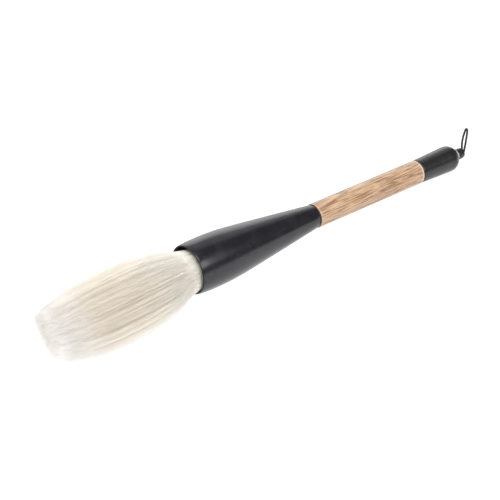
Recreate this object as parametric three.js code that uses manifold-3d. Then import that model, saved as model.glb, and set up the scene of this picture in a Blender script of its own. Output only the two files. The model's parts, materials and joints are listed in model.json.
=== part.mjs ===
// Large calligraphy brush, lying at rest on a table, in millimetres, +Z up.
//
// Each piece is drawn in the brush's own frame: X runs along the axis, with 0 at the mouth of the bell,
// the hair towards -X and the hanging loop towards +X. The whole brush is then tipped until the end cap
// and the hair both rest on Z = 0, and moved so that the origin is under the middle of its box.
import * as THREE from 'three';
import Module from 'manifold-3d';
import { mergeVertices } from 'three/addons/utils/BufferGeometryUtils.js';

// ---- driving dimensions ----------------------------------------------------------------------------
const GAP = 0.3; // clearance between pieces that touch on the real brush
const REST_TILT_DEG = 3.3; // how far the tail points down as the brush lies

const BELL_LENGTH = 89.2;
const MOUTH_RADIUS = 13.0; // inside of the bell's mouth
const LIP_RADIUS = 13.55; // outer edge of the flat rim around the mouth
const LIP_ROUND = [0.3, 13.82]; // middle of the rim's rounded edge: distance from the mouth, then radius
const BELL_REAR_RADIUS = 6.45; // inner edge of the rounding where the bell meets the wood
const SOCKET_DEPTH = 27.0; // how far the hair goes into the bell

// outside of the bell: distance from the mouth, then radius
const BELL_OUTSIDE = [
  [1.0, 14.0], [4, 14.33], [9, 14.52], [16, 14.55], [23, 14.3], [30, 13.75], [38, 12.92],
  [50, 11.5], [64, 9.87], [78, 8.17], [84.5, 7.4], [88.4, 6.87],
];

const SHAFT_RADIUS = 7.1;
const SHAFT_LENGTH = 81.3; // the wood that shows
const SHAFT_CHAMFER = 0.3;
const FRONT_TENON = { radius: 4.5, length: 16.0 };
const REAR_TENON = { radius: 4.0, length: 11.7 };

const CAP_LENGTH = 31.5;
const CAP_WIDEST = [24.9, 7.75];
const CAP_FRONT_RADIUS = 6.8; // edge of the cap's front face
const CAP_REAR_RADIUS = 3.7; // edge of the cap's rear face
const KNOT_CHAMBER_DEPTH = 19.0; // from the cap's front face to the floor of its socket

// outside of the cap: distance from its front face, then radius
const CAP_OUTSIDE = [
  [0.5, 7.02], [6, 7.2], [13, 7.42], [20, 7.65], CAP_WIDEST,
  [26.6, 7.6], [28.2, 7.05], [29.6, 6.1], [30.6, 5.1], [31.2, 4.3],
];

const RING = { length: 0.7, radius: 3.75, chamfer: 0.15 };
const KNOB = { length: 5.3, radius: 3.35, end: 2.85, fullness: 0.6 };
const CORD_RADIUS = 0.475;
const CORD_BORE = 1.4; // hole through the cap, the ring and the knob
const LEG_SPACING = 0.56; // half the distance between the cord's two legs in that hole
const KNOT_RADIUS = 2.3;

const ROOT_WAIST = { radius: 11.0, margin: 1.2, slope: 1.5 }; // hair drawn in by the binding thread
const THREAD = { radius: 0.45, coil: 12.0, turns: 5, stepsPerTurn: 16, pitch: 1.35, start: 8.6 };
const RESIN_THICKNESS = 2.6;

const BEND_SPHERE = 19.6; // the hair bends on a ball of this radius about the middle of the mouth
const COVER_WALL = 3.6; // layer of cover hair around the core
const COVER_END = 84.5; // how far the cover hair reaches from the mouth
const COVER_SHOULDER = 0.6; // slope of the core where it comes out of the cover
const DROOP = { start: 20.3, full: 75, depth: 5.0, power: 1.2 }; // sag of the soft hair below the axis

// how finely the round shapes are divided: sides round the axis, and steps along it
const SIDES = { bell: 36, shaft: 32, cap: 32, hair: 36, small: 20, knot: 14, cord: 8 };
const STEPS = {
  bell: 18, cap: 14, knob: 8, knot: 8, ball: 6, coverBall: 3, root: 5, hair: 13, tip: 4, loop: 60,
};
const OUTLINE_POINTS = 240;

// outline of the hair: distance from the mouth, then radius
const HAIR_OUTLINE = [
  [0, 12.3], [2.5, 12.9], [6, 14.2], [14, 16.0], [24, 17.6], [34, 18.7], [44, 19.1],
  [54, 18.95], [66, 18.2], [76, 17.0], [83, 15.7], [87, 13.6], [89.3, 10.2], [90.2, 5.6],
];
const HAIR_LENGTH = 90.5;

// one leg of the hanging loop from the knob to the top of the loop: along, sideways, up
const LOOP_LEG = [
  [0, LEG_SPACING, 0], [0.2, 0.57, 0.04], [0.37, 0.6, 0.15], [0.48, 0.64, 0.33], [0.53, 0.72, 0.6],
  [0.5, 0.86, 1.25], [0.4, 1.06, 2.5], [0.33, 1.24, 4.0], [0.32, 1.34, 5.9], [0.38, 1.36, 7.9],
  [0.52, 1.3, 9.9], [0.74, 1.14, 11.8], [0.98, 0.96, 13.6], [1.14, 0.76, 14.75], [1.22, 0.44, 15.4],
];
const LOOP_TOP = [1.24, 0, 15.6];

// ---- places along the axis ---------------------------------------------------------------------------
const shaftFront = BELL_LENGTH + GAP;
const shaftRear = shaftFront + SHAFT_LENGTH;
const capFront = shaftRear + GAP;
const capRear = capFront + CAP_LENGTH;
const ringFront = capRear + GAP;
const knobFront = ringFront + RING.length + GAP;
const knobRear = knobFront + KNOB.length;
const legEnd = knobRear + GAP;
const loopStart = legEnd + GAP;

// ---- materials ---------------------------------------------------------------------------------------
function finish(color, roughness, metalness = 0) {
  return new THREE.MeshStandardMaterial({ color, roughness, metalness });
}
const lacquer = finish(0x2c2b2f, 0.22);
const satinBlack = finish(0x38373a, 0.42);
const wood = finish(0xc9a183, 0.5);
const paleRing = finish(0xc9c9c9, 0.5);
const goatHair = finish(0xe4dac9, 0.85);
const thread = finish(0xd8cdb8, 0.8);
const resin = finish(0x8a5a24, 0.3);
const waxedCord = finish(0x3f3b3c, 0.6);

// ---- helpers -----------------------------------------------------------------------------------------

// flips a closed geometry whose faces point inwards: its signed volume is negative
function facesOut(geometry) {
  const flat = geometry.toNonIndexed().attributes.position;
  const [a, b, c] = [new THREE.Vector3(), new THREE.Vector3(), new THREE.Vector3()];
  let volume = 0;
  for (let i = 0; i < flat.count; i += 3) {
    a.fromBufferAttribute(flat, i);
    b.fromBufferAttribute(flat, i + 1);
    c.fromBufferAttribute(flat, i + 2);
    volume += a.dot(b.cross(c));
  }
  if (volume < 0 && geometry.index) {
    const index = geometry.index.array;
    for (let i = 0; i < index.length; i += 3) {
      [index[i], index[i + 1]] = [index[i + 1], index[i]];
    }
  }
  return geometry;
}

// keeps only positions and joins the vertices that share a place
function welded(geometry) {
  geometry.deleteAttribute('normal');
  geometry.deleteAttribute('uv');
  return facesOut(mergeVertices(geometry, 1e-4));
}

// turns a closed profile of [along, radius] points about the X axis, with the middle of a flat downwards
function turned(profile, sides) {
  const points = profile.map(([along, radius]) => new THREE.Vector2(radius, along));
  const onAxis = profile[0][1] === 0 && profile[profile.length - 1][1] === 0;
  if (!onAxis) {
    points.push(points[0].clone());
  }
  const geometry = new THREE.LatheGeometry(points, sides, Math.PI / sides, 2 * Math.PI);
  geometry.rotateZ(-Math.PI / 2);
  return welded(geometry);
}

// a round tube along a curve
function tube(curve, radius, steps, sides) {
  const section = new THREE.Shape();
  section.absarc(0, 0, radius, 0, 2 * Math.PI, false);
  // a full circle gets two points for each of its curve segments
  const settings = { steps, curveSegments: sides / 2, bevelEnabled: false, extrudePath: curve };
  return welded(new THREE.ExtrudeGeometry(section, settings));
}

// moves every vertex by a function of its place
function shaped(geometry, move) {
  const place = geometry.attributes.position;
  const point = new THREE.Vector3();
  for (let i = 0; i < place.count; i += 1) {
    point.fromBufferAttribute(place, i);
    move(point);
    place.setXYZ(i, point.x, point.y, point.z);
  }
  return geometry;
}

// evenly spaced points of the smooth curve through a few points
function smooth(points, count) {
  const curve = new THREE.SplineCurve(points.map(([x, y]) => new THREE.Vector2(x, y)));
  return curve.getSpacedPoints(count).map((point) => [point.x, point.y]);
}

const wasm = await Module();
wasm.setup();

function solidOf(geometry) {
  const vertProperties = new Float32Array(geometry.attributes.position.array);
  const triVerts = new Uint32Array(geometry.index.array);
  return new wasm.Manifold(new wasm.Mesh({ numProp: 3, vertProperties, triVerts }));
}

function geometryOf(solid) {
  const mesh = solid.getMesh();
  const geometry = new THREE.BufferGeometry();
  geometry.setAttribute('position', new THREE.BufferAttribute(mesh.vertProperties, 3));
  geometry.setIndex(new THREE.BufferAttribute(mesh.triVerts, 1));
  return geometry;
}

function joined(geometries) {
  return geometryOf(geometries.map(solidOf).reduce((sum, solid) => sum.add(solid)));
}

// ---- handle ------------------------------------------------------------------------------------------

// black turned bell: a socket for the hair in front and one for the shaft's tenon behind
function bellGeometry() {
  const rearSocket = FRONT_TENON.radius + GAP;
  const rearFloor = BELL_LENGTH - FRONT_TENON.length;
  return turned([
    [SOCKET_DEPTH, 0],
    [SOCKET_DEPTH, MOUTH_RADIUS],
    [0, MOUTH_RADIUS],
    [0, LIP_RADIUS],
    LIP_ROUND,
    ...smooth(BELL_OUTSIDE, STEPS.bell),
    [BELL_LENGTH, BELL_REAR_RADIUS],
    [BELL_LENGTH, rearSocket],
    [rearFloor, rearSocket],
    [rearFloor, 0],
  ], SIDES.bell);
}

// wooden shaft with a turned tenon at each end
function shaftGeometry() {
  const shoulder = SHAFT_RADIUS - SHAFT_CHAMFER;
  const front = shaftFront - FRONT_TENON.length + GAP;
  const rear = shaftRear + REAR_TENON.length;
  return turned([
    [front, 0],
    [front, FRONT_TENON.radius],
    [shaftFront, FRONT_TENON.radius],
    [shaftFront, shoulder],
    [shaftFront + SHAFT_CHAMFER, SHAFT_RADIUS],
    [shaftRear - SHAFT_CHAMFER, SHAFT_RADIUS],
    [shaftRear, shoulder],
    [shaftRear, REAR_TENON.radius],
    [rear, REAR_TENON.radius],
    [rear, 0],
  ], SIDES.shaft);
}

// black end cap: flush with the shaft, widest towards the tail, then round, bored for the cord
function capGeometry() {
  const socket = REAR_TENON.radius + GAP;
  return turned([
    [0, socket],
    [0, CAP_FRONT_RADIUS],
    ...smooth(CAP_OUTSIDE, STEPS.cap),
    [CAP_LENGTH, CAP_REAR_RADIUS],
    [CAP_LENGTH, CORD_BORE],
    [KNOT_CHAMBER_DEPTH, CORD_BORE],
    [KNOT_CHAMBER_DEPTH, socket],
  ].map(([along, radius]) => [capFront + along, radius]), SIDES.cap);
}

// thin pale ring between the cap and the knob
function ringGeometry() {
  return turned([
    [0, CORD_BORE],
    [0, RING.radius - RING.chamfer],
    [RING.chamfer, RING.radius],
    [RING.length - RING.chamfer, RING.radius],
    [RING.length, RING.radius - RING.chamfer],
    [RING.length, CORD_BORE],
  ].map(([along, radius]) => [ringFront + along, radius]), SIDES.small);
}

// small barrel at the tail that the cord comes out of
function knobGeometry() {
  const barrel = Array.from({ length: STEPS.knob + 1 }, (_, i) => {
    const share = i / STEPS.knob;
    const bulge = Math.sin(Math.PI * share) ** KNOB.fullness;
    return [share * KNOB.length, KNOB.end + (KNOB.radius - KNOB.end) * bulge];
  });
  return turned([
    [0, CORD_BORE],
    ...barrel,
    [KNOB.length, CORD_BORE],
  ].map(([along, radius]) => [knobFront + along, radius]), SIDES.small);
}

// knot in the cap's socket, with the cord's two legs running out through the bore
function knotGeometry() {
  const knotCentre = capFront + KNOT_CHAMBER_DEPTH - KNOT_RADIUS - GAP;
  const knot = welded(new THREE.SphereGeometry(KNOT_RADIUS, SIDES.knot, STEPS.knot));
  knot.translate(knotCentre, 0, 0);
  const legs = [-1, 1].map((side) => tube(new THREE.LineCurve3(
    new THREE.Vector3(knotCentre, side * LEG_SPACING, 0),
    new THREE.Vector3(legEnd, side * LEG_SPACING, 0),
  ), CORD_RADIUS, 1, SIDES.cord));
  return joined([knot, ...legs]);
}

// ---- hair --------------------------------------------------------------------------------------------
const outlineCurve = new THREE.SplineCurve(HAIR_OUTLINE.map(([x, y]) => new THREE.Vector2(x, y)));
const outlinePoints = outlineCurve.getSpacedPoints(OUTLINE_POINTS);

// radius of the whole head of hair at a distance from the mouth
function hairRadius(distance) {
  const after = Math.max(1, outlinePoints.findIndex((point) => point.x >= distance));
  const [low, high] = [outlinePoints[after - 1], outlinePoints[after]];
  const share = (distance - low.x) / (high.x - low.x);
  return low.y + (high.y - low.y) * share;
}

// distance from the mouth at which a ball about the mouth meets a surface of revolution
function meetsBall(ball, radiusAt) {
  let [near, far] = [0, ball];
  while (far - near > 1e-6) {
    const middle = (near + far) / 2;
    if (Math.hypot(middle, radiusAt(middle)) < ball) {
      near = middle;
    } else {
      far = middle;
    }
  }
  return near;
}

// profile of the ball's face, from one angle off the axis to another, in degrees
function ballProfile(ball, from, to, count) {
  return Array.from({ length: count + 1 }, (_, i) => {
    const angle = THREE.MathUtils.degToRad(from + (to - from) * i / count);
    return [ball * Math.cos(angle), ball * Math.sin(angle)];
  });
}

function ballAngle(ball, distance) {
  return THREE.MathUtils.radToDeg(Math.acos(distance / ball));
}

// stations from one distance to another, with the radius at each
function along(from, to, count, radiusAt) {
  return Array.from({ length: count + 1 }, (_, i) => {
    const distance = from + (to - from) * i / count;
    return [distance, radiusAt(distance)];
  });
}

// level of the table under the tipped brush, in the brush's own frame
const [capWidestAlong, capWidestRadius] = CAP_WIDEST;
const capLowRadius = capWidestRadius * Math.cos(Math.PI / SIDES.cap);
const tilt = THREE.MathUtils.degToRad(REST_TILT_DEG);
function tableLevel(x) {
  return -capLowRadius - (capFront + capWidestAlong - x) * Math.tan(tilt);
}

// lets the soft hair sag with distance from the mouth, and lie flat where it meets the table
function sagged(point, clearance) {
  const distance = -point.x;
  const share = THREE.MathUtils.clamp((distance - DROOP.start) / (DROOP.full - DROOP.start), 0, 1);
  const floor = tableLevel(point.x) + clearance;
  point.z = Math.max(point.z - DROOP.depth * Math.sin(share * Math.PI / 2) ** DROOP.power, floor);
}

function hairSolid(profile, clearance) {
  const geometry = turned(profile.map(([distance, radius]) => [-distance, radius]), SIDES.hair);
  return shaped(geometry, (point) => sagged(point, clearance));
}

// root of the hair: glued in the socket, and a ball end that the free hair bends on
function rootGeometry() {
  const edge = meetsBall(BEND_SPHERE, hairRadius);
  const waistFront = THREAD.start - ROOT_WAIST.margin;
  const waistRear = THREAD.start + THREAD.turns * THREAD.pitch + ROOT_WAIST.margin;
  const root = hairRadius(0);
  const bottom = SOCKET_DEPTH - RESIN_THICKNESS - 2 * GAP;
  return hairSolid([
    ...ballProfile(BEND_SPHERE, 0, ballAngle(BEND_SPHERE, edge), STEPS.ball),
    ...along(edge, 0, STEPS.root, hairRadius).slice(1),
    [-waistFront + ROOT_WAIST.slope, root],
    [-waistFront, ROOT_WAIST.radius],
    [-waistRear, ROOT_WAIST.radius],
    [-waistRear - ROOT_WAIST.slope, root],
    [-bottom, root],
    [-bottom, 0],
  ], 0);
}

// inside of the cover hair, and outside of the core, at a distance from the mouth
const coverInside = (distance) => hairRadius(distance) - COVER_WALL;
const coreOutside = (distance) => coverInside(distance) - GAP;

// layer of cover hair, open at the ball and at the tip
function coverGeometry() {
  const ball = BEND_SPHERE + GAP;
  const outerEdge = meetsBall(ball, hairRadius);
  const innerEdge = meetsBall(ball, coverInside);
  const [from, to] = [ballAngle(ball, innerEdge), ballAngle(ball, outerEdge)];
  return hairSolid([
    ...ballProfile(ball, from, to, STEPS.coverBall),
    ...along(outerEdge, COVER_END, STEPS.hair, hairRadius).slice(1),
    ...along(COVER_END, innerEdge, STEPS.hair, coverInside).slice(0, -1),
  ], 0);
}

// core of longer hair, which shows past the cover at the tip
function coreGeometry() {
  const ball = BEND_SPHERE + GAP;
  const edge = meetsBall(ball, coreOutside);
  const shoulder = COVER_END + GAP;
  const [outlineEnd] = HAIR_OUTLINE[HAIR_OUTLINE.length - 1];
  const tip = along(shoulder + COVER_SHOULDER, outlineEnd, STEPS.tip, hairRadius);
  return hairSolid([
    ...ballProfile(ball, 0, ballAngle(ball, edge), STEPS.ball),
    ...along(edge, shoulder, STEPS.hair, coreOutside).slice(1),
    ...tip,
    [HAIR_LENGTH, 0],
  ], COVER_WALL + GAP);
}

// thread wound round the root to bind it
function bindingGeometry() {
  const steps = THREAD.turns * THREAD.stepsPerTurn;
  const points = Array.from({ length: steps + 1 }, (_, i) => {
    const turn = i / THREAD.stepsPerTurn;
    const angle = 2 * Math.PI * turn;
    return new THREE.Vector3(
      THREAD.start + turn * THREAD.pitch,
      THREAD.coil * Math.cos(angle),
      THREAD.coil * Math.sin(angle),
    );
  });
  return tube(new THREE.CatmullRomCurve3(points), THREAD.radius, steps, SIDES.cord);
}

// disc of resin that glues the root to the floor of the socket
function resinGeometry() {
  const front = SOCKET_DEPTH - GAP - RESIN_THICKNESS;
  const radius = MOUTH_RADIUS - GAP;
  return turned([
    [front, 0],
    [front, radius],
    [front + RESIN_THICKNESS, radius],
    [front + RESIN_THICKNESS, 0],
  ], SIDES.small);
}

// ---- hanging loop ------------------------------------------------------------------------------------
function loopGeometry() {
  const place = (side) => ([x, y, z]) => new THREE.Vector3(loopStart + x, side * y, z);
  const points = [
    ...LOOP_LEG.map(place(-1)),
    place(1)(LOOP_TOP),
    ...LOOP_LEG.map(place(1)).reverse(),
  ];
  return tube(new THREE.CatmullRomCurve3(points, false, 'centripetal'), CORD_RADIUS, STEPS.loop, SIDES.cord);
}

// ---- the scene ---------------------------------------------------------------------------------------
const brush = new THREE.Group();
const resting = new THREE.Group();
resting.add(brush);

function add(name, geometry, material) {
  const mesh = new THREE.Mesh(geometry, material);
  mesh.name = name;
  brush.add(mesh);
  return mesh;
}

add('bell_ferrule', bellGeometry(), lacquer);
add('shaft', shaftGeometry(), wood);
add('end_cap', capGeometry(), satinBlack);
add('collar_ring', ringGeometry(), paleRing);
add('knob', knobGeometry(), satinBlack);
add('cord_knot', knotGeometry(), waxedCord);
add('tuft_root', rootGeometry(), goatHair);
add('root_binding', bindingGeometry(), thread);
add('root_resin', resinGeometry(), resin);
add('tuft_cover', coverGeometry(), goatHair);
add('tuft_core', coreGeometry(), goatHair);
const loop = add('hanging_loop', loopGeometry(), waxedCord);

// tip the brush to its resting tilt, then bring the middle of its base, without the loop, to the origin
brush.rotation.y = tilt;
resting.updateMatrixWorld(true);
const box = new THREE.Box3();
brush.children.filter((mesh) => mesh !== loop).forEach((mesh) => box.expandByObject(mesh, true));
const middle = box.getCenter(new THREE.Vector3());
brush.position.set(-middle.x, -middle.y, -box.min.z);
resting.updateMatrixWorld(true);

export default resting;
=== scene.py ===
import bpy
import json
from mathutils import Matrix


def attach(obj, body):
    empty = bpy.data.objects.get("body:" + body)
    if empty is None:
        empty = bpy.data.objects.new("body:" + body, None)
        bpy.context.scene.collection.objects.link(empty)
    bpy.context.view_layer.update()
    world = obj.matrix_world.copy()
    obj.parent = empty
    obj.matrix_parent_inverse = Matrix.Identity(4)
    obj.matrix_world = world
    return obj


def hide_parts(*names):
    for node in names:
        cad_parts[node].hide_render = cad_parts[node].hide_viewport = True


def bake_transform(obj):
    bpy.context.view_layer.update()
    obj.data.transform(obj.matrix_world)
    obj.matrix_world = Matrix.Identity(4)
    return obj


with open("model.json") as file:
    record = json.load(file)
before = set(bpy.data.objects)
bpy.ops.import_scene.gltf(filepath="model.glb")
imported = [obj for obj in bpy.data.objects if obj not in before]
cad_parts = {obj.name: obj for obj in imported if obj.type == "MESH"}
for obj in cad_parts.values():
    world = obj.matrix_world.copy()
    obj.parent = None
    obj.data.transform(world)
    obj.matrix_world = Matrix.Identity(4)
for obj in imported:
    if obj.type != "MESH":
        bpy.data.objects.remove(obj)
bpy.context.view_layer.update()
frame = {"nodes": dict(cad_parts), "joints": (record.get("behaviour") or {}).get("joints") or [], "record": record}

import json
import math
import bpy
import numpy as np
from mathutils import Vector

print("frame loaded")

# the brush's own frame: millimetres, x along the axis from the mouth of the bell to the tail
joints = {joint["name"]: joint for joint in frame["joints"]}
mounts = {mount["name"]: mount for mount in frame["record"]["mounts"]}
mouthCentre = np.array(joints["tuft_bend"]["pos_m"])
tailward = -np.array(mounts["mouth_rim"]["axis"])
sideways = np.array([0.0, 1.0, 0.0])
upward = np.cross(tailward, sideways)
brushAxes = np.stack([tailward, sideways, upward])
tiltSlope = -tailward[2] / tailward[0]  # how fast the axis drops towards the tail
mm = 0.001


def toFrame(points):
    # a point is the mouth's centre plus x, y and z millimetres along the brush's three axes
    return mouthCentre + np.asarray(points, float) @ brushAxes * mm


def tableLevel(x):
    # height of the table under the tipped axis, in the brush's own frame
    return -(mouthCentre[2] / mm - x * tailward[0] * tiltSlope) / upward[2]


# camera, at the angle that shows the hair near and the tail far
camera = {
    "azimuth": -40.0, "elevation": 36.0,  # degrees round and above the brush
    "distance": 870.0, "lens": 115.2,  # mm
    "looksAt": 43.9,  # mm along the axis from the mouth
    "aside": 0.65, "above": 3.86,  # mm that this point stands off the middle of the view
}


def addCamera(c):
    turn, lift = math.radians(c["azimuth"]), math.radians(c["elevation"])
    back = np.array([math.sin(turn) * math.cos(lift), -math.cos(turn) * math.cos(lift), math.sin(lift)])
    right = np.cross(-back, [0, 0, 1])
    right /= np.linalg.norm(right)
    up = np.cross(right, -back)
    target = toFrame([c["looksAt"], 0, 0]) - (right * c["aside"] + up * c["above"]) * mm
    data = bpy.data.cameras.new("camera")
    data.lens = c["lens"]
    data.clip_start, data.clip_end = 0.01, 20.0
    eye = bpy.data.objects.new("camera", data)
    eye.location = Vector(target + back * c["distance"] * mm)
    eye.rotation_euler = Vector(-back).to_track_quat("-Z", "Y").to_euler()
    bpy.context.scene.collection.objects.link(eye)
    bpy.context.scene.camera = eye


addCamera(camera)
print("camera placed")


# shader expressions


class Signal:
    # a socket that can be used in arithmetic, which adds Math nodes
    def __init__(self, paint, socket):
        self.paint, self.socket = paint, socket

    def math(self, operation, *others):
        sockets = dict(enumerate([self, *others]))
        return self.paint.node("ShaderNodeMath", {"operation": operation}, sockets)

    def __add__(self, other):
        return self.math("ADD", other)

    def __sub__(self, other):
        return self.math("SUBTRACT", other)

    def __mul__(self, other):
        return self.math("MULTIPLY", other)

    def __pow__(self, other):
        return self.math("POWER", other)

    def __lt__(self, other):
        return self.math("LESS_THAN", other)

    def __rsub__(self, other):
        return self.paint.node("ShaderNodeMath", {"operation": "SUBTRACT"}, {0: other, 1: self})


class Paint:
    # one material; node() adds any node with its settings, then its socket values or links
    def __init__(self, name):
        self.material = bpy.data.materials.new(name)
        self.material.use_nodes = True
        self.tree = self.material.node_tree
        self.tree.nodes.clear()

    def node(self, kind, settings=None, sockets=None, output=0):
        made = self.tree.nodes.new(kind)
        for key, value in (settings or {}).items():
            if key == "stops":
                self.setStops(made.color_ramp, value)
            else:
                setattr(made, key, value)
        for key, value in (sockets or {}).items():
            if isinstance(value, Signal):
                self.tree.links.new(value.socket, made.inputs[key])
            else:
                made.inputs[key].default_value = value
        return None if output is None else Signal(self, made.outputs[output])

    def setStops(self, ramp, stops):
        while len(ramp.elements) < len(stops):
            ramp.elements.new(0.5)
        for element, (place, colour) in zip(ramp.elements, stops):
            element.position = place
            element.color = colour

    def ramp(self, value, stops):
        return self.node("ShaderNodeValToRGB", {"stops": [(p, rgb(c)) for p, c in stops]}, {"Fac": value})

    def level(self, value, low, high, to=(0.0, 1.0)):
        # carries value from low..high to the two ends of to, clamped
        ends = {"From Min": low, "From Max": high, "To Min": to[0], "To Max": to[1]}
        return self.node("ShaderNodeMapRange", {"interpolation_type": "SMOOTHSTEP"}, {"Value": value, **ends})

    def mix(self, factor, first, second, blend="MIX"):
        settings = {"data_type": "RGBA", "blend_type": blend}
        return self.node("ShaderNodeMix", settings, {0: factor, 6: first, 7: second}, output=2)

    def noise(self, place, scale, detail=3.0, rough=0.55, distort=0.0):
        return self.node("ShaderNodeTexNoise", {}, {
            "Vector": place, "Scale": scale, "Detail": detail, "Roughness": rough, "Distortion": distort})

    def stretched(self, place, factors):
        return self.node("ShaderNodeVectorMath", {"operation": "MULTIPLY"}, {0: place, 1: factors})

    def attribute(self, name, output="Vector"):
        return self.node("ShaderNodeAttribute", {"attribute_name": name}, {}, output=output)

    def objectPlace(self):
        return self.node("ShaderNodeTexCoord", {}, {}, output="Object")

    def bump(self, height, strength, distance):
        return self.node("ShaderNodeBump", {}, {"Height": height, "Strength": strength, "Distance": distance})

    def finish(self, sockets):
        shader = self.node("ShaderNodeBsdfPrincipled", {}, sockets)
        self.node("ShaderNodeOutputMaterial", {}, {"Surface": shader}, output=None)
        return self.material


def rgb(colour):
    return (*colour, 1.0) if len(colour) == 3 else colour


print("shader helpers ready")

# meshes from arrays


def smoothLine(points, count):
    # Catmull-Rom curve through the points, evenly stepped in its own parameter
    p = np.asarray(points, float)
    p = np.vstack([2 * p[0] - p[1], p, 2 * p[-1] - p[-2]])
    t = np.linspace(0, len(p) - 3 - 1e-9, count)
    k = t.astype(int)
    f = (t - k)[:, None]
    a, b, c, d = p[k], p[k + 1], p[k + 2], p[k + 3]
    return 0.5 * (2 * b + (c - a) * f + (2 * a - 5 * b + 4 * c - d) * f ** 2
                  + (3 * b - a - 3 * c + d) * f ** 3)


def rounded(corners, closed, steps=6):
    # each corner is x, radius and fillet; a fillet is a quadratic arc that is tangent to both sides
    c = np.asarray(corners, float)
    before, after = np.roll(c[:, :2], 1, axis=0), np.roll(c[:, :2], -1, axis=0)
    share = np.linspace(0, 1, steps)[:, None]
    tightest = 0.49  # largest share of a side that a fillet takes
    line = []
    for k, (point, fillet) in enumerate(zip(c[:, :2], c[:, 2])):
        if fillet == 0 or (not closed and k in (0, len(c) - 1)):
            line.append(point[None])
            continue
        back, ahead = before[k] - point, after[k] - point
        reach = [min(fillet, tightest * np.linalg.norm(v)) / np.linalg.norm(v) for v in (back, ahead)]
        start, end = point + back * reach[0], point + ahead * reach[1]
        line.append(start * (1 - share) ** 2 + point * 2 * share * (1 - share) + end * share ** 2)
    return np.vstack(line)


def gridFaces(rows, columns, wrapRows, wrapColumns):
    # quads between neighbouring points of a grid, closed on itself where it wraps
    i = np.arange(rows if wrapRows else rows - 1)[:, None]
    j = np.arange(columns if wrapColumns else columns - 1)[None, :]
    i2, j2 = (i + 1) % rows, (j + 1) % columns
    corners = np.broadcast_arrays(i * columns + j, i * columns + j2, i2 * columns + j2, i2 * columns + j)
    return np.stack(corners, axis=-1).reshape(-1, 4)


def endCaps(rows, sides, firstPole):
    # fans that close both ends of a tube, round two poles that follow its points
    side, following = np.arange(sides), (np.arange(sides) + 1) % sides
    last = (rows - 1) * sides
    near, far = np.full(sides, firstPole), np.full(sides, firstPole + 1)
    return [np.stack([near, following, side], 1), np.stack([far, side + last, following + last], 1)]


def facingOut(points, faces):
    # turns every face round if the volume inside them comes out negative
    volume = 0.0
    for f in faces:
        for k in range(1, f.shape[1] - 1):
            a, b, c = points[f[:, 0]], points[f[:, k]], points[f[:, k + 1]]
            volume += np.einsum("ij,ij->i", a, np.cross(b, c)).sum()
    return faces if volume > 0 else [f[:, ::-1] for f in faces]


def makePiece(name, points, faces, material, fields=None):
    # points are in the brush's own frame; faces is a list of arrays of triangles or quads
    faces = facingOut(points, faces)
    corners = np.concatenate([f.ravel() for f in faces]).astype(np.int32)
    sizes = np.concatenate([np.full(len(f), f.shape[1]) for f in faces]).astype(np.int32)
    mesh = bpy.data.meshes.new(name)
    mesh.vertices.add(len(points))
    mesh.vertices.foreach_set("co", toFrame(points).astype(np.float32).ravel())
    mesh.loops.add(len(corners))
    mesh.loops.foreach_set("vertex_index", corners)
    mesh.polygons.add(len(sizes))
    mesh.polygons.foreach_set("loop_start", (np.cumsum(sizes) - sizes).astype(np.int32))
    mesh.polygons.foreach_set("loop_total", sizes)
    mesh.polygons.foreach_set("use_smooth", np.ones(len(sizes), bool))
    for key, values in {"place": points, **(fields or {})}.items():
        kind, field = ("FLOAT_VECTOR", "vector") if np.ndim(values) == 2 else ("FLOAT", "value")
        data = mesh.attributes.new(key, kind, "POINT").data
        data.foreach_set(field, np.asarray(values, np.float32).ravel())
    mesh.update(calc_edges=True)
    mesh.materials.append(material)
    piece = bpy.data.objects.new(name, mesh)
    bpy.context.scene.collection.objects.link(piece)
    return piece


def turnedPiece(name, corners, sides, material, closed):
    # a profile of x and radius carried round the axis: (x, r cos a, r sin a)
    line = rounded(corners, closed)
    if not closed:
        line, poles = line[1:-1], line[[0, -1], 0]
    angle = np.arange(sides) * 2 * math.pi / sides
    x, radius = line[:, :1], line[:, 1:]
    rings = np.broadcast_arrays(x, radius * np.cos(angle), radius * np.sin(angle))
    points = np.stack(rings, -1).reshape(-1, 3)
    faces = [gridFaces(len(line), sides, closed, True)]
    if not closed:
        faces += endCaps(len(line), sides, len(points))
        points = np.vstack([points, [[poles[0], 0, 0], [poles[1], 0, 0]]])
    return makePiece(name, points, faces, material)


def tubePiece(name, path, sides, section, plane, material):
    # a point is the path's plus section(angle, length) times cos a across the path and sin a beside it
    # plane is a direction that the path never runs along
    steps = np.diff(path, axis=0)
    tangent = np.gradient(path, axis=0)
    tangent /= np.linalg.norm(tangent, axis=1)[:, None]
    length = np.concatenate([[0], np.cumsum(np.linalg.norm(steps, axis=1))])
    across = np.cross(tangent, plane)
    across /= np.linalg.norm(across, axis=1)[:, None]
    beside = np.cross(tangent, across)
    angle = np.arange(sides) * 2 * math.pi / sides
    radius = section(angle[None, :], length[:, None])[..., None]
    ring = across[:, None] * np.cos(angle)[None, :, None] + beside[:, None] * np.sin(angle)[None, :, None]
    points = (path[:, None] + ring * radius).reshape(-1, 3)
    faces = [gridFaces(len(path), sides, False, True), *endCaps(len(path), sides, len(points))]
    points = np.vstack([points, path[[0, -1]]])
    along = np.concatenate([np.repeat(length, sides), length[[0, -1]]])
    around = np.concatenate([np.tile(angle, len(path)), [0, 0]])
    return makePiece(name, points, faces, material, {"along": along, "around": around}), length[-1]


print("mesh helpers ready")

# hanging loop

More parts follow.
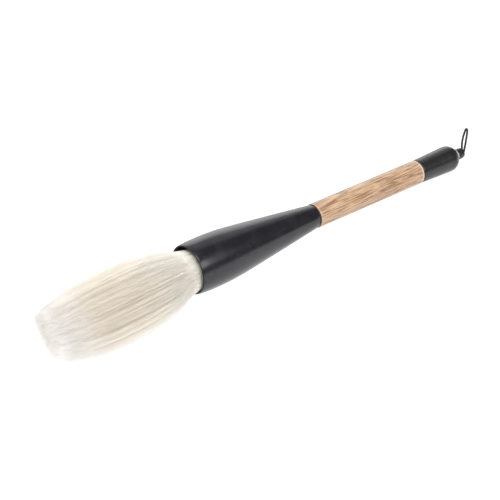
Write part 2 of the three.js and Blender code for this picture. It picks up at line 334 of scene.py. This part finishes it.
loopShape = {
    "start": 209.8, "radius": 0.64,  # mm from the mouth, and half the cord's thickness
    "leg": [  # one leg from the knob to the top of the loop: along, sideways, up
        (0, 0.56, 0), (0.2, 0.57, 0.04), (0.37, 0.6, 0.15), (0.48, 0.64, 0.33), (0.53, 0.72, 0.6),
        (0.5, 0.86, 1.25), (0.4, 1.06, 2.5), (0.33, 1.24, 4.0), (0.32, 1.34, 5.9), (0.38, 1.36, 7.9),
        (0.52, 1.3, 9.9), (0.74, 1.14, 11.8), (0.98, 0.96, 13.6), (1.14, 0.76, 14.75), (1.22, 0.44, 15.4),
    ],
    "top": (1.24, 0, 15.6),
    "bend": [(0, 0), (0.35, 1.5)],  # along and up, the stretch of cord where a swinging loop would bend
    "plane": (0.999, 0, -0.03),  # a direction across the loop's own plane
    "steps": 221, "sides": 24,
    "plies": 3, "lay": 1.9,  # strands twisted together, and mm for a third of a turn
    "ridge": 0.08,  # how deep the groove between the plies is, as a share of the radius
    "colour": (0.013, 0.011, 0.012), "worn": (0.048, 0.040, 0.039),
}


def paintCord(c):
    p = Paint("waxed cord")
    along, around = p.attribute("along", "Fac"), p.attribute("around", "Fac")
    turn = (around * c["plies"] + along * (2 * math.pi / c["lay"])).math("SINE")
    fibre = p.noise(p.attribute("place"), 6.0, 4.0)
    colour = p.mix(p.level(turn + fibre * 1.2, 0.3, 1.7), rgb(c["colour"]), rgb(c["worn"]))
    return p.finish({"Base Color": colour, "Roughness": 0.55, "Specular IOR Level": 0.4,
                     "Normal": p.bump(fibre, 0.4, 0.0001)})


def addLoop(c):
    leg = np.array(c["leg"], float)
    mirrored = leg * [1, -1, 1]
    route = np.vstack([mirrored, [c["top"]], leg[::-1]]) + [c["start"], 0, 0]
    path = smoothLine(route, c["steps"])

    def twisted(angle, length):
        # radius less a groove between plies: r (1.03 - g |cos(n a / 2 + pi s / lay)| ^ 4)
        phase = c["plies"] * angle / 2 + length * math.pi / c["lay"]
        return c["radius"] * (1.03 - c["ridge"] * np.abs(np.cos(phase)) ** 4)

    piece, length = tubePiece("cordLoop", path, c["sides"], twisted, c["plane"], paintCord(c))
    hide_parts("hanging_loop")
    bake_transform(piece)


addLoop(loopShape)
print("hanging loop made")

# turned pieces of the handle

bell = {
    "length": 89.2, "mouth": 13.0, "lip": 13.7, "lipRound": 0.3,
    "socketDepth": 27.0, "rearSocket": 4.8, "rearDepth": 16.0, "rearEdge": 6.5,
    "outside": [
        (1.3, 14.06), (4, 14.33), (9, 14.52), (16, 14.55), (23, 14.3), (30, 13.75), (38, 12.92),
        (50, 11.5), (64, 9.87), (78, 8.17), (84.5, 7.4), (88.3, 6.9),
    ],
    "colour": (0.0120, 0.0112, 0.0148), "worn": (0.018, 0.017, 0.022), "roughness": (0.19, 0.26),
    # the mouth's inside and lip: their colour is painted shade, then the mm from the mouth that the lip takes, and
    # their roughness
    "matteMouthShade": (0.003, 0.003, 0.003), "bareBefore": 0.3, "bareRoughness": 0.75, "sides": 144,
}
shaft = {
    "front": 89.5, "rear": 170.8, "radius": 7.1, "chamfer": 0.35,
    "frontTenon": (4.5, 15.7), "rearTenon": (4.0, 11.7),
    "pale": (0.625, 0.425, 0.272), "tan": (0.49, 0.305, 0.178), "dark": (0.18, 0.082, 0.036),
    # painted light in the wood's colours: a pale highlight at both ends, a lighter sheen seen at a low angle, and
    # dark shade in the seams
    "edge": (0.86, 0.72, 0.58), "rim": (0.62, 0.50, 0.41), "seam": (0.10, 0.05, 0.025), "sides": 96,
    # mm from the seam where the pale edge, a painted highlight, begins and is full, and its strength; the same for
    # the painted shade in the seams
    "frontHighlight": (1.1, 0.5, 0.2), "rearHighlight": (1.6, 0.7, 0.9), "seamShade": (0.35, 0.15),
}
cap = {
    "front": 171.1, "length": 31.5, "socket": 4.3, "chamber": 19.0, "bore": 1.4,
    "outside": [
        (0.5, 7.02), (6, 7.2), (13, 7.42), (20, 7.65), (24.9, 7.75),
        (26.6, 7.6), (28.2, 7.05), (29.6, 6.1), (30.6, 5.1), (31.2, 4.3),
    ],
    "colour": (0.0150, 0.0145, 0.0155), "worn": (0.022, 0.0215, 0.0225), "roughness": (0.26, 0.36),
    "frontEdge": 6.8, "rearEdge": 3.7, "sides": 112,
}
# a pale ring between the cap and the knob, a painted highlight for the bright line in the glossy neck there
ring = {"front": 202.9, "length": 0.7, "radius": 3.75, "colour": (0.62, 0.61, 0.60), "sides": 64}
knob = {"front": 203.9, "length": 5.3, "end": 2.85, "radius": 3.35, "fullness": 0.6, "sides": 64}


def paintLacquer(name, c):
    p = Paint(name)
    place = p.attribute("place")
    cloud = p.noise(place, 0.12, 3.0)
    colour = p.mix(p.level(cloud, 0.35, 0.7), rgb(c["colour"]), rgb(c["worn"]))
    rough = p.level(p.noise(place, 0.5, 4.0), 0.3, 0.75, c["roughness"])
    if "matteMouthShade" in c:  # the inside and the lip of a mouth aren't polished, and painted shade darkens their colour
        along = p.node("ShaderNodeSeparateXYZ", {}, {"Vector": place}, output="X")
        flat = p.stretched(place, (0.0, 1.0, 1.0))
        radius = p.node("ShaderNodeVectorMath", {"operation": "LENGTH"}, {0: flat}, output="Value")
        inSocket = along < c["socketDepth"] + 0.5
        inside = (1 - p.level(radius, c["mouth"] + 0.05, c["mouth"] + 0.35)) * inSocket
        matteMouthShade = inside.math("MAXIMUM", p.level(along, c["bareBefore"], c["bareBefore"] - 0.2))
        # painted shade: the inside of the socket and the lip are darker
        colour = p.mix(matteMouthShade, colour, rgb(c["matteMouthShade"]))
        rough = rough + (c["bareRoughness"] - rough) * matteMouthShade
    turningMarks = p.noise(p.stretched(place, (2.2, 0.05, 0.05)), 1.0, 2.0)
    return p.finish({"Base Color": colour, "Roughness": rough, "Specular IOR Level": 0.5,
                     "Normal": p.bump(turningMarks, 0.05, 0.0002)})


def paintWood(c):
    p = Paint("oiled wood")
    place = p.attribute("place")
    wander = p.noise(p.stretched(place, (0.02, 0.12, 0.12)), 1.0, 2.0)
    # growth bands run along the stick; pores are short dark dashes along the grain
    band = p.noise(p.stretched(place, (0.018, 0.42, 0.42)), 1.0, 4.0, 0.6, 0.8)
    fine = p.noise(p.stretched(place, (0.07, 2.4, 2.4)), 1.0, 3.0, 0.6)
    poreField = p.noise(p.stretched(place, (0.085, 2.0, 2.0)), 1.0, 2.0, 0.5)
    pore = p.level(poreField + wander * 0.3, 0.66, 0.75)
    body = p.mix(p.level(band, 0.28, 0.58), rgb(c["tan"]), rgb(c["pale"]))
    body = p.mix(p.level(fine, 0.30, 0.72, (0.0, 0.42)), body, rgb(c["dark"]))
    body = p.mix(pore * 0.85, body, rgb(c["dark"]))
    along = p.node("ShaderNodeSeparateXYZ", {}, {"Vector": place}, output="X")
    # painted highlights on the pale edges where the shaft meets the cap and the bell, and painted shade darkening
    # both seams
    begins, full, strength = c["rearHighlight"]
    rearEdge = p.level(along, c["rear"] - begins, c["rear"] - full) * strength
    begins, full, strength = c["frontHighlight"]
    frontEdge = p.level(along, c["front"] + begins, c["front"] + full) * strength
    body = p.mix(rearEdge.math("MAXIMUM", frontEdge), body, rgb(c["edge"]))
    middle, half = (c["front"] + c["rear"]) / 2, (c["rear"] - c["front"]) / 2
    # painted shade darkens the wood in both seams
    seamShadeMask = p.level((along - middle).math("ABSOLUTE"), half - c["seamShade"][0], half - c["seamShade"][1])
    body = p.mix(seamShadeMask, body, rgb(c["seam"]))
    # painted sheen: the wood's colour is lightened where it is seen at a low angle
    facing = p.node("ShaderNodeLayerWeight", {}, {"Blend": 0.5}, output="Facing")
    body = p.mix(facing ** 2.0 * 0.45, body, rgb(c["rim"]))
    rough = p.level(fine, 0.2, 0.8, (0.42, 0.58))
    return p.finish({"Base Color": body, "Roughness": rough, "Specular IOR Level": 0.45,
                     "Coat Weight": 0.12, "Coat Roughness": 0.3,
                     "Normal": p.bump(1 - pore + fine * 0.4, 0.35, 0.0002)})


# painted highlight: the ring's pale colour carries the bright line between the cap and the knob
def paintHighlightRing(c):
    p = Paint("painted highlight ring")
    cloud = p.noise(p.attribute("place"), 1.5, 3.0)
    colour = p.mix(cloud, rgb([v * 0.85 for v in c["colour"]]), rgb(c["colour"]))
    return p.finish({"Base Color": colour, "Roughness": 0.4})


def handlePiece(name, node, corners, sides, material, closed=True):
    piece = turnedPiece(name, corners, sides, material, closed)
    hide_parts(node)
    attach(piece, "handle")


def sharp(points, front=0.0):
    # points of a smooth line as corners with no fillet
    return [(x + front, radius, 0) for x, radius in points]


def addBell(c):
    floor = c["length"] - c["rearDepth"]
    corners = [
        (c["socketDepth"], 0, 0), (c["socketDepth"], c["mouth"], 0.3), (0, c["mouth"], 0.12),
        (0, c["lip"], c["lipRound"]), *sharp(smoothLine(c["outside"], 90)),
        (c["length"], c["rearEdge"], 0.3), (c["length"], c["rearSocket"], 0.15),
        (floor, c["rearSocket"], 0.2), (floor, 0, 0),
    ]
    material = paintLacquer("black lacquer", c)
    handlePiece("bell", "bell_ferrule", corners, c["sides"], material, False)


def addShaft(c):
    edge = c["radius"] - c["chamfer"]
    frontRadius, frontLength = c["frontTenon"]
    rearRadius, rearLength = c["rearTenon"]
    body = np.linspace(c["front"] + c["chamfer"], c["rear"] - c["chamfer"], 40)
    corners = [
        (c["front"] - frontLength, 0, 0), (c["front"] - frontLength, frontRadius, 0.3),
        (c["front"], frontRadius, 0.1), (c["front"], edge, 0.15),
        *[(x, c["radius"], 0) for x in body],
        (c["rear"], edge, 0.15), (c["rear"], rearRadius, 0.1),
        (c["rear"] + rearLength, rearRadius, 0.3), (c["rear"] + rearLength, 0, 0),
    ]
    handlePiece("woodenShaft", "shaft", corners, c["sides"], paintWood(c), False)


def addCap(c):
    corners = [
        (c["front"], c["socket"], 0.1), (c["front"], c["frontEdge"], 0.2),
        *sharp(smoothLine(c["outside"], 60), c["front"]),
        (c["front"] + c["length"], c["rearEdge"], 0.2), (c["front"] + c["length"], c["bore"], 0.15),
        (c["front"] + c["chamber"], c["bore"], 0.1), (c["front"] + c["chamber"], c["socket"], 0.2),
    ]
    handlePiece("endCap", "end_cap", corners, c["sides"], paintLacquer("satin black", c))


def addRing(c):
    rear = c["front"] + c["length"]
    corners = [
        (c["front"], cap["bore"], 0.1), (c["front"], c["radius"], 0.2),
        (rear, c["radius"], 0.2), (rear, cap["bore"], 0.1),
    ]
    handlePiece("highlightRing", "collar_ring", corners, c["sides"], paintHighlightRing(c))


def addKnob(c):
    # barrel: radius rises from each end by a power of a sine
    share = np.linspace(0, 1, 24)
    bulge = c["end"] + (c["radius"] - c["end"]) * np.sin(math.pi * share) ** c["fullness"]
    barrel = np.stack([share * c["length"], bulge], 1)
    corners = [
        (c["front"], cap["bore"], 0.1), (c["front"], c["end"] - 0.1, 0.1), *sharp(barrel[1:-1], c["front"]),
        (c["front"] + c["length"], c["end"] - 0.1, 0.1), (c["front"] + c["length"], cap["bore"], 0.3),
    ]
    handlePiece("tailKnob", "knob", corners, c["sides"], paintLacquer("knob black", cap))


addBell(bell)
addShaft(shaft)
addCap(cap)
addRing(ring)
addKnob(knob)
print("handle turned")

# hair

hair = {
    "outline": [  # mm from the mouth, then radius of the whole head
        (-24, 11.5), (-8, 11.7), (0, 11.9), (2.5, 12.6), (6, 14.0), (14, 16.0), (24, 17.5), (34, 18.5),
        (44, 19.0), (54, 19.0), (66, 18.5), (76, 17.5), (83, 16.4), (87, 15.4), (92, 13.8),
    ],
    "sagDepth": 4.0, "sagOver": 78.0, "sagAtMouth": 1.0,  # mm
    "slant": 2.0,  # mm that the upper hairs reach further than the lower ones
    "clumps": 240, "clumpPull": 0.45, "drift": 0.035, "thickness": 0.27,  # pull as a share, radians, mm
    # waves round the head, their height as a share of the radius, and their phase
    "locks": [(5, 0.010, 0.4), (11, 0.009, 2.1), (19, 0.007, 4.4), (31, 0.005, 1.3)],
    # packed hair in the middle: its share of the radius, and mm from the mouth to its end
    "bodyShare": 0.885, "bodyEnd": 76.0,
    # mm from the mouth that no hair passes, and over how many mm the longest ones bunch up to it
    "reachLimit": 94.0, "reachSoftness": 2.5,
    # loose hair leaves the mouth inside this share of the radius, and is free this many mm further out
    "mouthShare": 0.93, "mouthReach": 26.0,
    "widestShare": 1.12, "taper": 0.85,  # taper is the share of its thickness that a hair loses by its tip
    "clumpRise": 0.007, "splay": 0.012,  # shares of the radius that clumps and single hairs stand off
    "cover": {
        "pieces": 4, "count": 2900, "stations": 11, "shares": (0.86, 0.93, 0.01),
        "starts": (-14, -3), "ends": (80.5, 4.6), "thin": 1.0,
    },
    "tipHair": {
        "pieces": 2, "count": 4200, "stations": 8, "shares": (0.0, 0.93, 0.008),
        "starts": (50, 62), "ends": (84.0, 3.6), "thin": 1.0,
    },
    "loose": {
        "pieces": 2, "count": 2900, "stations": 11, "shares": (0.92, 0.96, 0.042),
        "starts": (-8, -3), "ends": (77.5, 7.5), "thin": 0.42,
    },
    # the mouth colour is painted shade, where the bell shades the hair
    "mouth": (0.78, 0.76, 0.68), "root": (0.89, 0.86, 0.78), "middle": (0.92, 0.86, 0.755),
    # the near white colour for the edge of the head is painted light
    "tip": (0.93, 0.895, 0.855), "rim": (0.97, 0.955, 0.925), "shade": (0.62, 0.50, 0.36),
    "glow": 0.05, "through": 0.09,  # painted glow, for light scattered inside the head, and for light let through at its lower edge
    "seed": 11,
}
outline = smoothLine(hair["outline"], 300)


def headRadius(distance):
    # radius of the whole head this far from the mouth, read off its outline
    return np.interp(distance, outline[:, 0], outline[:, 1])


def sag(distance):
    # s0 + d sin(90 degrees u / u0) ^ 1.2
    share = np.clip(distance / hair["sagOver"], 0, 1)
    return hair["sagAtMouth"] + hair["sagDepth"] * np.sin(share * math.pi / 2) ** 1.2


def lockHeight(angle, distance):
    # soft ridges along the head: the sum of h sin(n a + p + u / 60), growing from the mouth
    waves = sum(h * np.sin(n * angle + p + distance / 60) for n, h, p in hair["locks"])
    return waves * np.clip(distance / 30, 0, 1)


def restOnTable(x, centre, z, thickness):
    # a depth h past H0 becomes H0 + (H - H0) (1 - exp(-(h - H0) / (H - H0))),
    # where H is the room from the centre line down to the table, and H0 is 0.7 of it
    room = np.maximum(centre - tableLevel(x) - thickness, 0.1)
    depth = centre - z
    free = room * 0.7
    pressed = free + (room - free) * (1 - np.exp(-np.maximum(depth - free, 0) / (room - free)))
    return np.where(depth > free, centre - pressed, z)


def hairPlace(distance, share, angle, thickness=0.0):
    # a point in the head: share of the radius, at an angle, with the centre line sagging
    radius = headRadius(distance) * share * (1 + lockHeight(angle, distance))
    centre = -sag(distance)
    z = restOnTable(-distance, centre, centre + radius * np.sin(angle), thickness)
    return np.stack(np.broadcast_arrays(-distance, radius * np.cos(angle), z), -1)


def strandMesh(line, thickness):
    # three-sided tapering rods along each line: line is strands x stations x 3
    strands, stations, _ = line.shape
    tangent = np.gradient(line, axis=1)
    tangent /= np.linalg.norm(tangent, axis=2, keepdims=True) + 1e-9
    outward = line * [0, 1, 1] + [0, 0, 1e-3]
    across = np.cross(tangent, outward)
    across /= np.linalg.norm(across, axis=2, keepdims=True) + 1e-9
    above = np.cross(across, tangent)
    turn = np.arange(3) * 2 * math.pi / 3 + math.pi / 2
    ring = across[:, :, None] * np.cos(turn)[:, None] + above[:, :, None] * np.sin(turn)[:, None]
    points = (line[:, :, None] + ring * thickness[:, :, None, None] / 2).reshape(-1, 3)
    one = gridFaces(stations, 3, False, True)
    step = (np.arange(strands) * stations * 3)[:, None, None]
    ends = np.array([[0, 2, 1], [stations * 3 - 3, stations * 3 - 2, stations * 3 - 1]])
    quads = (one[None] + step).reshape(-1, 4)
    caps = (ends[None] + step).reshape(-1, 3)
    return points, [quads, caps]


def outwardAt(angle):
    # sideways and upward parts of the head's surface normal
    return np.stack([np.zeros_like(angle), np.cos(angle), np.sin(angle)], -1) @ brushAxes


def strandLines(h, group, count, random, clumps):
    # each strand keeps its share of the head's radius and its angle, drifts a little, and leans to its clump
    low, high, tail = group["shares"]  # even between the first two, then thinning out over the third
    starts, ends = group["starts"], group["ends"]
    share = np.sqrt(random.uniform(low ** 2, high ** 2, count))[:, None]
    share = np.minimum(share + random.exponential(tail, (count, 1)), h["widestShare"])
    angle = random.uniform(-math.pi, math.pi, count)
    away = (angle[:, None] - clumps["angle"][None] + math.pi) % (2 * math.pi) - math.pi
    near = np.argmin(np.abs(away), axis=1)
    lean = away[np.arange(count), near][:, None]
    angle = angle[:, None]
    end = random.normal(ends[0], ends[1], count)[:, None] + clumps["reach"][near][:, None] * share ** 4
    short = h["reachLimit"] - end - h["slant"] * share * np.sin(angle)
    # a soft limit: L - w ln(1 + exp((L - e) / w))
    end = h["reachLimit"] - h["reachSoftness"] * np.log1p(np.exp(short / h["reachSoftness"]))
    start = random.uniform(starts[0], starts[1], count)[:, None]
    t = np.linspace(0, 1, group["stations"])[None]
    distance = start + (end - start) * t
    grown = np.clip(distance / 85, 0, 1.1)
    drift = random.normal(0, h["drift"], count)[:, None] * grown ** 1.5
    turned = angle - lean * h["clumpPull"] * grown + drift
    rise = clumps["rise"][near][:, None] * h["clumpRise"] * grown * share ** 4
    splay = random.normal(0, h["splay"], count)[:, None] * np.clip((distance - 60) / 30, 0, 1.1) ** 2
    settled = h["mouthShare"] + (share - h["mouthShare"]) * np.clip(distance / h["mouthReach"], 0, 1)
    inner = np.where(share > h["mouthShare"], settled, share) + rise + splay
    taper = 1 - h["taper"] * t ** 3
    thickness = group["thin"] * h["thickness"] * random.uniform(0.7, 1.15, count)[:, None] * taper
    line = hairPlace(distance, inner, turned, 0.15)
    tone = np.clip(0.6 * clumps["tone"][near] + 0.4 * random.uniform(0, 1, count), 0, 1)
    return line, thickness, tone, distance, turned


def paintHair(h):
    p = Paint("goat hair")
    place = p.attribute("place")
    reach, tone = p.attribute("reach", "Fac"), p.attribute("tone", "Fac")
    # painted shade: the hair is darker at the mouth and inside the bell
    base = p.ramp(reach, [
        (0.0, h["mouth"]), (0.07, h["root"]), (0.22, h["root"]), (0.42, h["middle"]),
        (0.72, h["middle"]), (0.96, h["tip"]), (1.0, h["tip"]),
    ])
    streak = p.noise(p.stretched(place, (0.02, 0.5, 0.5)), 1.0, 3.0, 0.6)
    fine = p.noise(p.stretched(place, (0.03, 1.7, 1.7)), 1.0, 2.0, 0.5)
    fade = 1 - p.level(reach, 0.62, 0.92, (0.0, 0.85))
    # painted light: toward the edge of the head, most at its lower side, the hair is made lighter and glows, for
    # light coming through the loose hair; all of it also glows a little
    outward = p.attribute("outward")
    facing = p.node("ShaderNodeLayerWeight", {}, {"Blend": 0.5, "Normal": outward}, output="Facing")
    lift = p.node("ShaderNodeSeparateXYZ", {}, {"Vector": outward}, output="Z")
    edge = p.level(facing, 0.35, 0.92, (0.0, 0.95)) * p.level(lift, -0.4, 0.5, (1.0, 0.0))
    dark = p.level(streak, 0.45, 0.72) * 0.18 + p.level(fine, 0.45, 0.70) * 0.32
    dark = (dark + p.level(tone, 0.35, 1.0) * 0.28) * fade
    # painted light: the streaks fade where the head faces up, so its top is lighter
    dark = dark * p.level(lift, 0.62, 0.95, (1.0, 0.35))
    colour = p.mix(edge, p.mix(dark, base, rgb(h["shade"])), rgb(h["rim"]))
    light = p.mix(edge, rgb((0, 0, 0)), rgb([v * h["through"] for v in h["rim"]]))
    light = p.mix(1.0, light, p.mix(1.0, colour, rgb([h["glow"]] * 3), "MULTIPLY"), "ADD")
    return p.finish({
        "Base Color": colour, "Roughness": 0.6, "Specular IOR Level": 0.25,
        "Subsurface Weight": 0.4, "Subsurface Radius": (1.0, 0.9, 0.75), "Subsurface Scale": 0.0004,
        "Emission Color": light, "Emission Strength": 1.0,
    })


def rideHair(piece, nodes):
    if nodes:
        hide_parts(*nodes)
    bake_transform(piece)


def addHairBody(h, material):
    # packed hair under the strands: the head's outline a little smaller, closed with a round end
    stations, sides = 80, 180
    distance = np.concatenate([np.linspace(-23.4, 62, 60), np.linspace(63, h["bodyEnd"], stations - 60)])
    blunt = np.clip((h["bodyEnd"] + 0.3 - distance) / 14, 0, 1)
    share = h["bodyShare"] * np.sqrt(1 - (1 - blunt) ** 2.5) * np.clip((distance + 24) / 0.6, 0.9, 1)
    angle = np.arange(sides) * 2 * math.pi / sides
    points = hairPlace(distance[:, None], share[:, None], angle[None], 0.4).reshape(-1, 3)
    faces = [gridFaces(stations, sides, False, True), *endCaps(stations, sides, len(points))]
    centres = hairPlace(distance[[0, -1]], np.zeros(2), np.zeros(2))
    reach = np.clip(np.concatenate([np.repeat(distance, sides), distance[[0, -1]]]) / 90, 0, 1)
    points = np.vstack([points, centres])
    around = np.concatenate([np.tile(angle, stations), [0, 0]])
    fields = {"reach": reach, "tone": np.full(len(points), 0.6), "outward": outwardAt(around)}
    piece = makePiece("hairBody", points, faces, material, fields)
    rideHair(piece, ["tuft_core"])


def addStrands(h, name, group, nodes, material, random, clumps):
    count = int(group["count"] * (1.0))
    line, thickness, tone, distance, angle = strandLines(h, group, count, random, clumps)
    points, faces = strandMesh(line, thickness)
    reach = np.clip(np.repeat(distance.reshape(-1), 3) / 90, 0, 1)
    tone = np.repeat(tone, line.shape[1] * 3)
    outward = outwardAt(np.repeat(angle.reshape(-1), 3))
    piece = makePiece(name, points, faces, material, {"reach": reach, "tone": tone, "outward": outward})
    rideHair(piece, nodes)


def addHair(h):
    material = paintHair(h)
    random = np.random.default_rng(h["seed"])
    clumps = {
        "angle": np.sort(random.uniform(-math.pi, math.pi, h["clumps"])),
        "tone": random.uniform(0, 1, h["clumps"]),
        "reach": random.normal(0, 0.9, h["clumps"]),
        "rise": random.normal(0, 1, h["clumps"]),
    }
    addHairBody(h, material)
    for name, group in [("coverHair", h["cover"]), ("tipHair", h["tipHair"]), ("softHair", h["loose"])]:
        for k in range(group["pieces"]):
            nodes = ["tuft_cover", "tuft_root"] if name == "coverHair" and k == 0 else []
            addStrands(h, f"{name}{k + 1}", group, nodes, material, random, clumps)


addHair(hair)
print("hair laid")

# pieces that stay as they are, inside the brush


def paintInside(name, light, dark, scale, roughness):
    p = Paint(name)
    cloud = p.noise(p.objectPlace(), scale, 4.0)
    return p.finish({"Base Color": p.mix(cloud, rgb(dark), rgb(light)), "Roughness": roughness,
                     "Normal": p.bump(cloud, 0.3, 0.0002)})


insidePaints = {
    "cord_knot": paintInside("knotted cord", (0.09, 0.07, 0.07), (0.03, 0.025, 0.025), 2500, 0.6),
    "root_binding": paintInside("binding thread", (0.66, 0.60, 0.48), (0.45, 0.40, 0.30), 3000, 0.8),
    "root_resin": paintInside("root resin", (0.34, 0.16, 0.04), (0.20, 0.08, 0.02), 300, 0.25),
}
for node, material in insidePaints.items():
    mesh = frame["nodes"][node].data
    mesh.materials.clear()
    mesh.materials.append(material)
print("inner pieces painted")

# floor, light and view

studio = {
    "floor": (0.30, 0.30, 0.30), "glow": 0.90, "glowFar": 0.3, "glowReach": (0.17, 0.6),  # m from the middle
    "world": 0.09,
    # softboxes: azimuth from -Y towards +X and elevation in degrees, distance in m, width, height, radiance
    "softboxes": {
        "front": (4, 37, 1.3, 1.1, 0.58, 3.4),
        "frontSoft": (38, 37, 1.3, 0.5, 0.7, 0.45),
        "back": (160, 14, 1.6, 3.0, 0.9, 1.85),
        "backSoft": (160, 46, 1.6, 2.6, 1.1, 0.6),
        "key": (-65, 60, 1.3, 1.1, 1.1, 6.1),
        "top": (0, 86, 1.5, 1.1, 0.9, 0.35),
    },
}


def addFloor(s):
    bpy.ops.mesh.primitive_plane_add(size=12, location=(0, 0, 0))
    floor = bpy.context.object
    floor.name = "floor"
    p = Paint("floor")
    place = p.objectPlace()
    grain = p.noise(place, 40.0, 3.0)
    away = p.node("ShaderNodeVectorMath", {"operation": "LENGTH"}, {0: place}, output="Value")
    glow = p.level(away, *s["glowReach"], (s["glow"], s["glowFar"]))
    light = p.mix(glow, rgb((0, 0, 0)), rgb((1, 1, 1)))
    colour = p.mix(grain, rgb([v * 0.97 for v in s["floor"]]), rgb(s["floor"]))
    floor.data.materials.append(p.finish({"Base Color": colour, "Roughness": 0.9, "Specular IOR Level": 0.0,
                                          "Emission Color": light, "Emission Strength": 1.0}))


def addSoftbox(name, azimuth, elevation, distance, width, height, radiance):
    # an area light of this radiance gives radiance x pi x area watts
    turn, lift = math.radians(azimuth), math.radians(elevation)
    toward = Vector((math.sin(turn) * math.cos(lift), -math.cos(turn) * math.cos(lift), math.sin(lift)))
    data = bpy.data.lights.new(name, "AREA")
    data.shape, data.size, data.size_y = "RECTANGLE", width, height
    data.energy = radiance * math.pi * width * height
    lamp = bpy.data.objects.new(name, data)
    lamp.location = toward * distance
    lamp.rotation_euler = toward.to_track_quat("Z", "Y").to_euler()
    bpy.context.scene.collection.objects.link(lamp)


def addStudio(s):
    addFloor(s)
    for name, settings in s["softboxes"].items():
        addSoftbox(name, *settings)
    world = bpy.data.worlds.new("studio")
    world.use_nodes = True
    world.node_tree.nodes["Background"].inputs["Strength"].default_value = s["world"]
    world.node_tree.nodes["Background"].inputs["Color"].default_value = (1, 1, 1, 1)
    bpy.context.scene.world = world
    bpy.context.scene.view_settings.view_transform = "Standard"


addStudio(studio)
print("studio lit")
